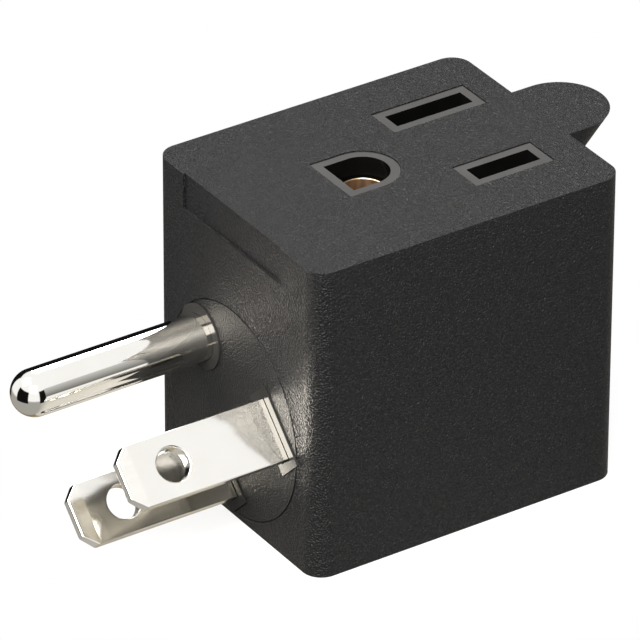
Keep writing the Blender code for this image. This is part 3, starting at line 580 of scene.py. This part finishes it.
def place_camera():
    """The camera at the photograph's angle, aimed so that the frame needs no shift.

    Its azimuth is from -Y towards +X, and the focal length and the axis are in pixels of the photograph.
    """
    azimuth, elevation, roll = math.radians(55.892), math.radians(31.196), math.radians(0.544)
    distance, image, sensor = 741.4 * MM, 640, 36.0
    focal, axis_x, axis_y = 7661.3, 386.39, 309.97
    target = Vector((0.0, 17.75 * MM, 5.45 * MM))
    level = math.cos(elevation)
    back = Vector((math.sin(azimuth) * level, -math.cos(azimuth) * level, math.sin(elevation)))
    right = Vector((math.cos(azimuth), math.sin(azimuth), 0.0))
    up = back.cross(right)
    right, up = (right * math.cos(roll) + up * math.sin(roll),
                 up * math.cos(roll) - right * math.sin(roll))
    aside, above = (image / 2 - axis_x) / focal, (image / 2 - axis_y) / focal
    ahead = (-back + right * aside - up * above).normalized()
    right = (right - ahead * right.dot(ahead)).normalized()
    up = right.cross(ahead)
    camera = bpy.data.objects.new("camera", bpy.data.cameras.new("camera"))
    bpy.context.scene.collection.objects.link(camera)
    rows = [[right[i], up[i], -ahead[i], (target + back * distance)[i]] for i in range(3)]
    camera.matrix_world = Matrix([*rows, [0, 0, 0, 1]])
    camera.data.sensor_width = sensor
    camera.data.lens = focal / image * sensor
    camera.data.clip_start, camera.data.clip_end = 0.05, 20.0
    bpy.context.scene.camera = camera


place_camera()

# Light: a soft white studio with dark cards for the metal to show, and three softboxes. The camera
# sees plain white behind the part. Angles here are in degrees, with azimuth 0 at +X and 90 at +Y.
CARD_EDGE = 1.5
WARM_BROWN, WARM_GREY, FRONT_GREY = (0.24, 0.185, 0.085), (0.55, 0.53, 0.48), (0.38, 0.37, 0.35)
LOW_GREY, HIGH_GREY, CARD_BLACK = (0.16, 0.155, 0.14), (0.60, 0.60, 0.59), (0.006, 0.006, 0.006)
BLACK_CARDS = (  # azimuth, half width, lowest and highest elevation
    (167, 29, -30, 28.5),
    (-88.5, 28.5, -25, 27),
    (7, 15, -23, 32),
)
GREY_CARD = (33, 11.5, -2, 33)
LIT_POINT = (0.0, 0.008, 0.0)

world = bpy.data.worlds.new("studio")
bpy.context.scene.world = world
world.use_nodes = True
tree = world.node_tree
links = tree.links


def math_node(operation, a, b=None):
    node = tree.nodes.new("ShaderNodeMath")
    node.operation = operation
    for i, value in enumerate((a, b)):
        if isinstance(value, (int, float)):
            node.inputs[i].default_value = value
        elif value is not None:
            links.new(value, node.inputs[i])
    return node.outputs[0]


def blended(share, below, above):
    """Mixes two colours, each a socket or a plain tuple, by the share."""
    node = tree.nodes.new("ShaderNodeMix")
    node.data_type = "RGBA"
    links.new(share, node.inputs[0])
    for socket, colour in ((node.inputs[6], below), (node.inputs[7], above)):
        if isinstance(colour, tuple):
            socket.default_value = (*colour, 1.0)
        else:
            links.new(colour, socket)
    return node.outputs[2]


direction = tree.nodes.new("ShaderNodeTexCoord").outputs["Generated"]
parts = tree.nodes.new("ShaderNodeSeparateXYZ")
links.new(direction, parts.inputs[0])
dx, dy, dz = parts.outputs
squares = math_node("ADD", math_node("MULTIPLY", dx, dx), math_node("MULTIPLY", dy, dy))
flat = math_node("MAXIMUM", math_node("SQRT", squares), 0.001)


def heading(azimuth):
    """How far a direction points to an azimuth: the cosine of the angle between them, from above."""
    turn = math.radians(azimuth)
    along_x = math_node("MULTIPLY", dx, math.cos(turn))
    along_y = math_node("MULTIPLY", dy, math.sin(turn))
    return math_node("DIVIDE", math_node("ADD", along_x, along_y), flat)


def rising(value, start, end):
    return spread(tree, value, 0.0, 1.0, start, end)


def card(azimuth, half_width, low, high):
    """A card in the studio: 1 inside its azimuths and elevations, 0 outside them."""
    cos, sin = (lambda a: math.cos(math.radians(a))), (lambda a: math.sin(math.radians(a)))
    inside, outside = cos(half_width - CARD_EDGE), cos(half_width + CARD_EDGE)
    across = rising(heading(azimuth), outside, inside)
    over = rising(dz, sin(low - CARD_EDGE), sin(low + CARD_EDGE))
    under = spread(tree, dz, 1.0, 0.0, sin(high - CARD_EDGE), sin(high + CARD_EDGE))
    return math_node("MULTIPLY", across, math_node("MULTIPLY", over, under))


behind = blended(rising(heading(60), start=0.05, end=0.5), WARM_BROWN, WARM_GREY)
ground = blended(rising(heading(-90), start=-0.2, end=0.2), behind, FRONT_GREY)
shade = blended(rising(dz, start=-0.30, end=-0.16), ground, WHITE)
grey = blended(rising(dz, start=-0.03, end=0.55), LOW_GREY, HIGH_GREY)
shade = blended(card(*GREY_CARD), shade, grey)
for black_card in [card(*place) for place in BLACK_CARDS]:
    shade = blended(black_card, shade, CARD_BLACK)
sky = tree.nodes["Background"]
links.new(shade, sky.inputs["Color"])
sky.inputs["Strength"].default_value = 1.05
backdrop = tree.nodes.new("ShaderNodeBackground")
backdrop.inputs["Color"].default_value = (*WHITE, 1.0)
backdrop.inputs["Strength"].default_value = 1.0
seen = tree.nodes.new("ShaderNodeLightPath").outputs["Is Camera Ray"]
either = tree.nodes.new("ShaderNodeMixShader")
links.new(seen, either.inputs[0])
links.new(sky.outputs[0], either.inputs[1])
links.new(backdrop.outputs[0], either.inputs[2])
links.new(either.outputs[0], tree.nodes["World Output"].inputs["Surface"])


def softbox(name, towards, distance, size, power, colour):
    """A square lamp: its distance from the part and its side are in metres, its power in watts."""
    lamp = bpy.data.lights.new(name, "AREA")
    lamp.shape = "SQUARE"
    lamp.size = size
    lamp.energy = power
    lamp.color = colour
    held = bpy.data.objects.new(name, lamp)
    bpy.context.scene.collection.objects.link(held)
    place = Vector(towards).normalized()
    held.location = Vector(LIT_POINT) + place * distance
    held.rotation_euler = place.to_track_quat("Z", "Y").to_euler()


softbox("key_softbox", towards=(0.518, -0.48, 0.708), distance=0.45, size=0.25, power=10.0,
        colour=(1.0, 0.95, 0.87))
softbox("fill_softbox", towards=(-0.3, -0.48, 0.824), distance=0.45, size=0.26, power=4.4,
        colour=(1.0, 0.92, 0.80))
softbox("strip_softbox", towards=(-0.66, 0.45, 0.66), distance=0.60, size=0.24, power=1.68,
        colour=WHITE)

bpy.context.scene.view_settings.view_transform = "Standard"
